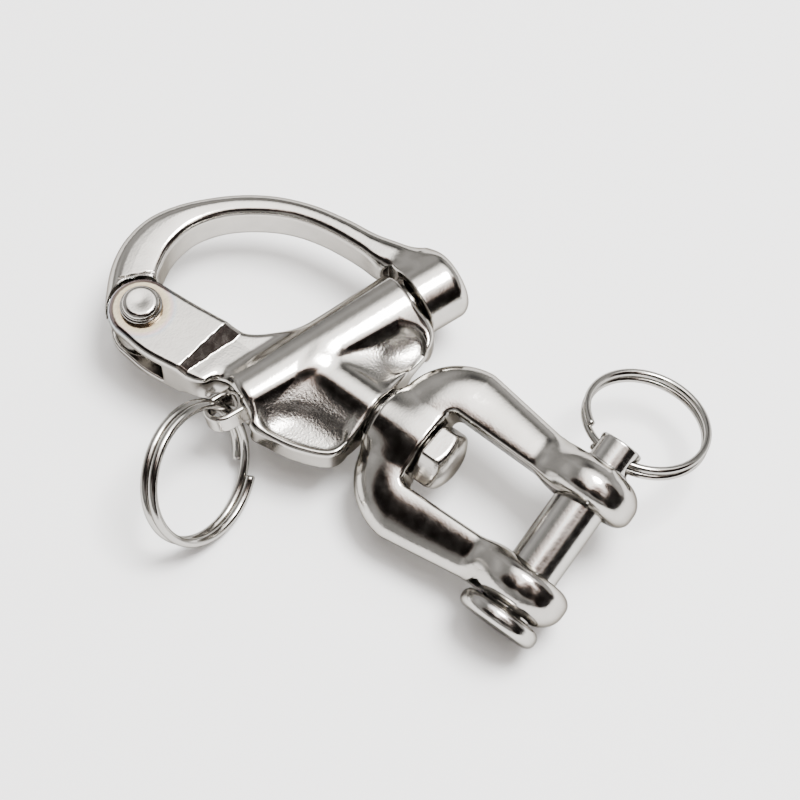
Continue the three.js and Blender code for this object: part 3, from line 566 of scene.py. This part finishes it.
def fork_field(x, y, z):
    """An oval bow between outline and window, the hub and two round ears; then the holes and the seat."""
    half = LEG_HALF + (CROWN_HALF - LEG_HALF) * ease(y, THICKENS_FROM, THICKENS_TO)
    to_outside, to_window = fork_outline(x, y) + SKIN, fork_window(x, y)
    width = np.maximum(to_window, 0.0) + np.maximum(-to_outside, 0.0) + 0.01
    bulge = (1 - RIDGE) * width
    oval = np.hypot((to_window - RIDGE * width) / bulge, z / half)
    bow = np.where(to_outside > 0, np.maximum(to_outside, np.abs(z) - half), (oval - 1) * OVAL_SCALE)
    up, stem_out = about(x, y, z, CENTRE, AHEAD)
    hub = drum(up, stem_out, CROWN_IN, CROWN_OUT, CROWN_HUB_R, edge=0.8)
    bow = smooth_min(bow, hub, blend=1.8)
    bow = cut(bow, to_window, blend=0.8)
    bow = smooth_max(bow, BOW_END - y, blend=1.0)
    _, ear_out = about(x, y, z, CENTRE, ACROSS)
    inner = rounded(EAR_IN - np.abs(x), ear_out - FORK_EAR_R + SKIN, edge=2.3)
    outer = rounded(np.abs(x) - EAR_OUT + SKIN, ear_out - FORK_EAR_R + SKIN, edge=3.9)
    ears = smooth_max(inner, outer, blend=0.3)
    solid = smooth_min(bow, ears, blend=2.6)
    side = np.abs(x) - EAR_OUT + SKIN - LEG_FLARE * np.maximum(y - LEG_FROM, 0)
    solid = smooth_max(solid, side, blend=0.2)
    solid = cut(solid, ear_out - PIN_HOLE_R, blend=0.5)
    solid = cut(solid, stem_out - CROWN_HOLE_R, blend=0.3)
    seat = np.maximum(np.abs(x) - SEAT_HALF, np.maximum(y - CROWN_IN, CROWN_IN - SEAT_DEPTH - y))
    solid = cut(solid, seat, blend=0.4)
    return smooth_max(solid, y - CROWN_OUT, blend=0.9)


cast_piece("fork", "cast_steel", CAST, fork_field, (-15, -7.5, -7.5), (15, 32, 7.5), CELL, fork=True)


# ------------------------------------------------------------------ turned pieces
def rivet_field(x, y, z):
    """A shank with the same head at both ends: a thin step and a flat-topped button."""
    along, out = about(x, y, z, HINGE, UP)
    top = np.abs(along) - ARM_HALF
    shank = np.maximum(out - RIVET_R, top - 0.3)
    step = rounded(np.maximum(out - RIVET_STEP_R + SKIN, 0.05 - top), top - RIVET_STEP, edge=0.25)
    dish = DISH_DEPTH * np.exp(-(out / DISH_R) ** 2)
    side = out - RIVET_CROWN_R + RIVET_TAPER * np.maximum(top - 0.9, 0)
    crown = rounded(side, top + dish - RIVET_TOP, edge=0.75)
    crown = np.maximum(crown, 0.3 - top)
    return smooth_min(np.minimum(shank, step), crown, blend=0.22)


cast_piece("hinge_rivet", "turned_steel", CAST, rivet_field, (HINGE[0] - 3.3, HINGE[1] - 3.3, -6.5),
           (HINGE[0] + 3.3, HINGE[1] + 3.3, 6.5), FINE_CELL)


def plunger_field(x, y, z):
    """The lock pin: coned nose and head, thin stem, and the flat eye for its ring."""
    along, out = about(x, y, z, MOUTH, TUBE)
    tip = BOSS_GAP + NOSE_CONE
    into_cone = np.clip((along - BOSS_GAP + NOSE_START) / (NOSE_CONE + NOSE_START), 0, 1.2)
    cone = PLUNGER_R - (PLUNGER_R - NOSE_TIP_R) * into_cone
    head = rounded(out - cone + SKIN, np.abs(along - (tip - PLUNGER_HEAD) / 2) - (tip + PLUNGER_HEAD) / 2,
                   edge=0.25)
    eye_at = -TUBE_LENGTH - EYE_CENTRE
    stem = drum(along, out, eye_at + 0.6, -PLUNGER_HEAD + 1, PLUNGER_STEM_R, edge=0.1)
    eye = MOUTH + TUBE * eye_at
    side = (x - eye[0]) * EYE_SIDE[0] + (y - eye[1]) * EYE_SIDE[1] + (z - eye[2]) * EYE_SIDE[2]
    up = (x - eye[0]) * EYE_UP[0] + (y - eye[1]) * EYE_UP[1] + (z - eye[2]) * EYE_UP[2]
    reach = along - eye_at
    round_end = np.hypot(np.minimum(reach + EYE_HOLE_STRETCH, 0), side) - EYE_HALF_WIDTH
    outline = np.maximum(round_end, reach - EYE_ROOT)
    blade = rounded(outline + SKIN, np.abs(up) - EYE_HALF_THICK, edge=0.45)
    hole = np.hypot(np.maximum(np.abs(reach) - EYE_HOLE_STRETCH, 0), side) - EYE_HOLE_R
    solid = smooth_min(np.minimum(head, stem), blade, blend=0.4)
    return cut(solid, hole, blend=0.5)


cast_piece("plunger", "turned_steel", CAST, plunger_field, (-17, 37, -3.4), (20, 53, 3.4), FINE_CELL * 1.3)


def bolt_field(x, y, z):
    """A domed hexagon head on a plain shank."""
    under = CROWN_IN - BOLT_HEAD_GAP
    end = under - HEX_LENGTH
    up, out = about(x, y, z, CENTRE, AHEAD)
    flat = HEX_R * math.cos(math.pi / 6)
    sides = [np.abs(x * math.cos(a) + z * math.sin(a)) - flat + SKIN for a in np.radians((30, 90, 150))]
    hexagon = smooth_max(smooth_max(sides[0], sides[1], blend=0.35), sides[2], blend=0.35)
    prism = rounded(hexagon, np.abs(up - (end + under) / 2) - HEX_LENGTH / 2, edge=0.4)
    head = smooth_max(prism, np.hypot(out, up - end - HEX_DOME_CENTRE) - HEX_DOME_R, blend=0.5)
    shaft = drum(up, out, under - 1, BOLT_TOP, BOLT_R, edge=0.2)
    return smooth_min(head, shaft, blend=0.3)


cast_piece("swivel_bolt", "turned_steel", CAST, bolt_field, (-5.3, 17, -5.3), (5.3, 41, 5.3), FINE_CELL,
           rules={"pitted": lambda points: np.full(len(points), BOLT_PITTING)})


def pin_field(x, y, z):
    """A button head, the shank, and a thinner cross-drilled end."""
    along, out = about(x, y, z, CENTRE, ACROSS)
    head_at = -EAR_OUT - PIN_HEAD_GAP
    head = rounded(out - PIN_HEAD_R + SKIN, np.abs(along - head_at + PIN_HEAD / 2) - PIN_HEAD / 2, edge=1.25)
    shoulder = EAR_OUT + PIN_SHOULDER
    shaft = drum(along, out, head_at - 1, shoulder, PIN_R - SKIN, edge=0.35)
    end = drum(along, out, shoulder - 2, PIN_END, PIN_END_R - SKIN, edge=0.35)
    solid = smooth_min(np.minimum(shaft, end), head, blend=0.3)
    cross = np.hypot(along - CROSS_HOLE_AT, z) - CROSS_HOLE_R
    return cut(solid, np.maximum(cross, CROSS_HOLE_FROM - along), blend=0.35)


cast_piece("clevis_pin", "turned_steel", TURNED, pin_field, (-16, -6.5, -6.5), (17, 6.5, 6.5),
           FINE_CELL * 1.2, fork=True)


# ------------------------------------------------------------------ wire
END_SCALES = (0.05, 0.75)                                   # the wire's thickness in its last two rings
END_BEVEL = 0.25                                            # how long that bevel is, in wire radii
RING_TURNS, RING_COIL_GAP, RING_STEPS, RING_SIDES = 1.97, 0.06, 110, 20
SPRING_STEPS, SPRING_SIDES = 36, 12
LOCK_RING_R, LOCK_WIRE_R, LOCK_SET_BACK, LOCK_SPLIT = 10.2, 0.74, 0.1, 245
CLEVIS_RING_R, CLEVIS_WIRE_R, CLEVIS_SET_BACK, CLEVIS_SPLIT = 9.25, 0.62, 0.3, 215
CLEVIS_RING_DROOP = math.radians(-37)


def wire(centre, normal, start, radius, thick, pitch, turns, steps, sides):
    """A round wire wound about normal, its ends cut square with a small bevel."""
    n = normal / np.linalg.norm(normal)
    u = start - (start @ n) * n
    u /= np.linalg.norm(u)
    v = np.cross(n, u)
    lead = END_BEVEL * thick / (2 * math.pi * radius)
    middle = list(np.linspace(0, turns, int(turns * steps))[1:-1])
    share = [0.0, 0.0, lead] + middle + [turns - lead, turns, turns]
    size = [*END_SCALES, 1.0] + [1.0] * len(middle) + [1.0, *reversed(END_SCALES)]
    points = []
    for s, scale in zip(share, size):
        t = 2 * math.pi * s
        out = u * math.cos(t) + v * math.sin(t)
        at = centre + out * radius + n * pitch * (s - turns / 2)
        for k in range(sides):
            a = 2 * math.pi * k / sides
            points.append(at + (out * math.cos(a) + n * math.sin(a)) * thick * scale)
    last = (len(share) - 1) * sides
    faces = []
    for i in range(0, last, sides):
        for k in range(sides):
            m = (k + 1) % sides
            faces.append((i + k, i + sides + k, i + sides + m, i + m))
    faces.append(tuple(range(sides)))
    faces.append(tuple(reversed(range(last, last + sides))))
    return np.array(points), faces


def split_ring(hole, tangent, out, radius, thick, set_back, split):
    """A double-coil ring through a hole: tangent is the hole's axis, split the angle of the wire's end."""
    t = tangent / np.linalg.norm(tangent)
    r = out - (out @ t) * t
    r /= np.linalg.norm(r)
    normal = np.cross(t, r)
    pitch = 2 * thick + RING_COIL_GAP
    to_hole = (1.5 - split / 360) % 1
    centre = hole + r * (radius - set_back) - normal * pitch * (to_hole + 0.5 - RING_TURNS / 2)
    a = math.radians(split)
    start = r * math.cos(a) + np.cross(normal, r) * math.sin(a)
    return wire(centre, normal, start, radius - RING_SKIN, thick - RING_SKIN, pitch, RING_TURNS, RING_STEPS,
                RING_SIDES)


lock_eye = MOUTH - TUBE * (TUBE_LENGTH + EYE_CENTRE)
piece("plunger_ring", "ring_steel", RING, *split_ring(
    lock_eye, np.array([0.24, -0.41, -0.88]), np.array([-0.96, -0.21, -0.16]),
    LOCK_RING_R, LOCK_WIRE_R, LOCK_SET_BACK, LOCK_SPLIT))
points, faces = split_ring(
    np.array([CROSS_HOLE_AT, 0.0, 0.0]), AHEAD,
    np.array([math.cos(CLEVIS_RING_DROOP), 0.0, math.sin(CLEVIS_RING_DROOP)]),
    CLEVIS_RING_R, CLEVIS_WIRE_R, CLEVIS_SET_BACK, CLEVIS_SPLIT)
piece("clevis_ring", "ring_steel", RING, in_fork(points), faces)

spring_from, spring_to = -BORE_DEPTH + SPRING_GAP, -PLUNGER_HEAD - SPRING_GAP
coil = piece("plunger_spring", "spring_steel", SPRING, *wire(
    MOUTH + TUBE * (spring_from + spring_to) / 2, TUBE, UP, SPRING_R, SPRING_WIRE_R,
    (spring_to - spring_from) / SPRING_TURNS, SPRING_TURNS, SPRING_STEPS, SPRING_SIDES))
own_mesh(coil)


# ------------------------------------------------------------------ floor
FLOOR_R, FLOOR_SIDES, PAPER, PAPER_ROUGHNESS = 3.0, 64, (0.95, 0.95, 0.95, 1), 0.9

floor_z = cad_bounds[0][2]
rim = np.linspace(0, 2 * math.pi, FLOOR_SIDES, endpoint=False)
floor_mesh = bpy.data.meshes.new("floor")
floor_mesh.from_pydata([(math.cos(a) * FLOOR_R, math.sin(a) * FLOOR_R, floor_z) for a in rim], [],
                       [tuple(range(FLOOR_SIDES))])
floor = bpy.data.objects.new("floor", floor_mesh)
bpy.context.scene.collection.objects.link(floor)
paper = bpy.data.materials.new("paper")
paper.use_nodes = True
paper_shader = paper.node_tree.nodes["Principled BSDF"]
paper_shader.inputs["Base Color"].default_value = PAPER
paper_shader.inputs["Roughness"].default_value = PAPER_ROUGHNESS
floor_mesh.materials.append(paper)


# ------------------------------------------------------------------ the studio round the shackle
# A patch of the studio is a direction and the angles at which it begins and ends, in degrees.
OVERHEAD_PATCH, OVERHEAD_LEVEL = ((0.20, -0.17, 0.96), 18, 46), 5.6
DARK_PATCHES = (((-0.56, 0.26, 0.79), 17, 29), ((-0.05, -0.98, 0.20), 24, 38),
                ((-0.45, -0.45, 0.77), 16, 28), ((0.37, -0.68, 0.63), 16, 24))
DARK_SIDE = 0.018                                           # what is left of the light in the dark patches
ROOM_SCALE, ROOM_DETAIL, ROOM_GAIN, ROOM_BASE = 1.7, 1.5, 1.6, -0.3
DARK_TONE, OPEN_TONE = (1.0, 0.70, 0.60, 1), (1.0, 0.985, 0.965, 1)

world = bpy.data.worlds.new("studio")
bpy.context.scene.world = world
world.use_nodes = True
sky = world.node_tree
looking = sky.nodes.new("ShaderNodeTexCoord").outputs["Generated"]


def patch(direction, inner, outer, level_in, level_out):
    """Brightness that changes smoothly from a patch of the studio to what is round it."""
    dot = sky.nodes.new("ShaderNodeVectorMath")
    dot.operation = "DOT_PRODUCT"
    dot.inputs[1].default_value = Vector(direction).normalized()
    sky.links.new(looking, dot.inputs[0])
    spread = sky.nodes.new("ShaderNodeMapRange")
    spread.interpolation_type = "SMOOTHSTEP"
    for key, value in (("From Min", math.cos(math.radians(outer))),
                       ("From Max", math.cos(math.radians(inner))),
                       ("To Min", level_out), ("To Max", level_in)):
        spread.inputs[key].default_value = value
    sky.links.new(dot.outputs["Value"], spread.inputs["Value"])
    return spread.outputs["Result"]


room = combined(sky, noise_of(sky, looking, ROOM_SCALE, ROOM_DETAIL), ROOM_GAIN, "MULTIPLY")
level = combined(sky, combined(sky, room, ROOM_BASE), patch(*OVERHEAD_PATCH, OVERHEAD_LEVEL, 0.0))
open_side = 1.0
for dark in DARK_PATCHES:
    open_side = combined(sky, open_side, patch(*dark, 0.0, 1.0), "MULTIPLY")
share_left = combined(sky, combined(sky, open_side, 1 - DARK_SIDE, "MULTIPLY"), DARK_SIDE)
level = combined(sky, level, share_left, "MULTIPLY")
tone = sky.nodes.new("ShaderNodeMix")
tone.data_type = "RGBA"
tone.inputs["A"].default_value = DARK_TONE
tone.inputs["B"].default_value = OPEN_TONE
sky.links.new(open_side, tone.inputs["Factor"])
background = sky.nodes["Background"]
sky.links.new(level, background.inputs["Strength"])
sky.links.new(tone.outputs["Result"], background.inputs["Color"])


# ------------------------------------------------------------------ lamp and camera
LOOK_AT = np.array([3.83, 31.02, 0.0])                      # in the working frame
LAMP_TOWARDS, LAMP_DISTANCE, LAMP_SIZE, LAMP_POWER = (0.22, -0.20, 0.95), 0.9, 0.36, 19.0
AZIMUTH, ELEVATION, DISTANCE = math.radians(-52.5), math.radians(64), 0.390
LENS, SENSOR = 119.9, 36.0

target = Vector(((LOOK_AT + AXES_CROSS) * MM).tolist())


def aimed(name, data, towards, distance):
    """A lamp or camera on one side of the target, turned to it."""
    obj = bpy.data.objects.new(name, data)
    obj.location = target + towards * distance
    obj.rotation_euler = towards.to_track_quat("Z", "Y").to_euler()
    bpy.context.scene.collection.objects.link(obj)
    return obj


lamp = bpy.data.lights.new("overhead", "AREA")
lamp.shape = "DISK"
lamp.size = LAMP_SIZE
lamp.energy = LAMP_POWER
overhead = aimed("overhead", lamp, Vector(LAMP_TOWARDS).normalized(), LAMP_DISTANCE)

camera_data = bpy.data.cameras.new("camera")
camera_data.lens, camera_data.sensor_width = LENS, SENSOR
camera_data.clip_start, camera_data.clip_end = 0.01, 20
back = Vector((math.sin(AZIMUTH) * math.cos(ELEVATION), -math.cos(AZIMUTH) * math.cos(ELEVATION),
               math.sin(ELEVATION)))
bpy.context.scene.camera = aimed("camera", camera_data, back, DISTANCE)
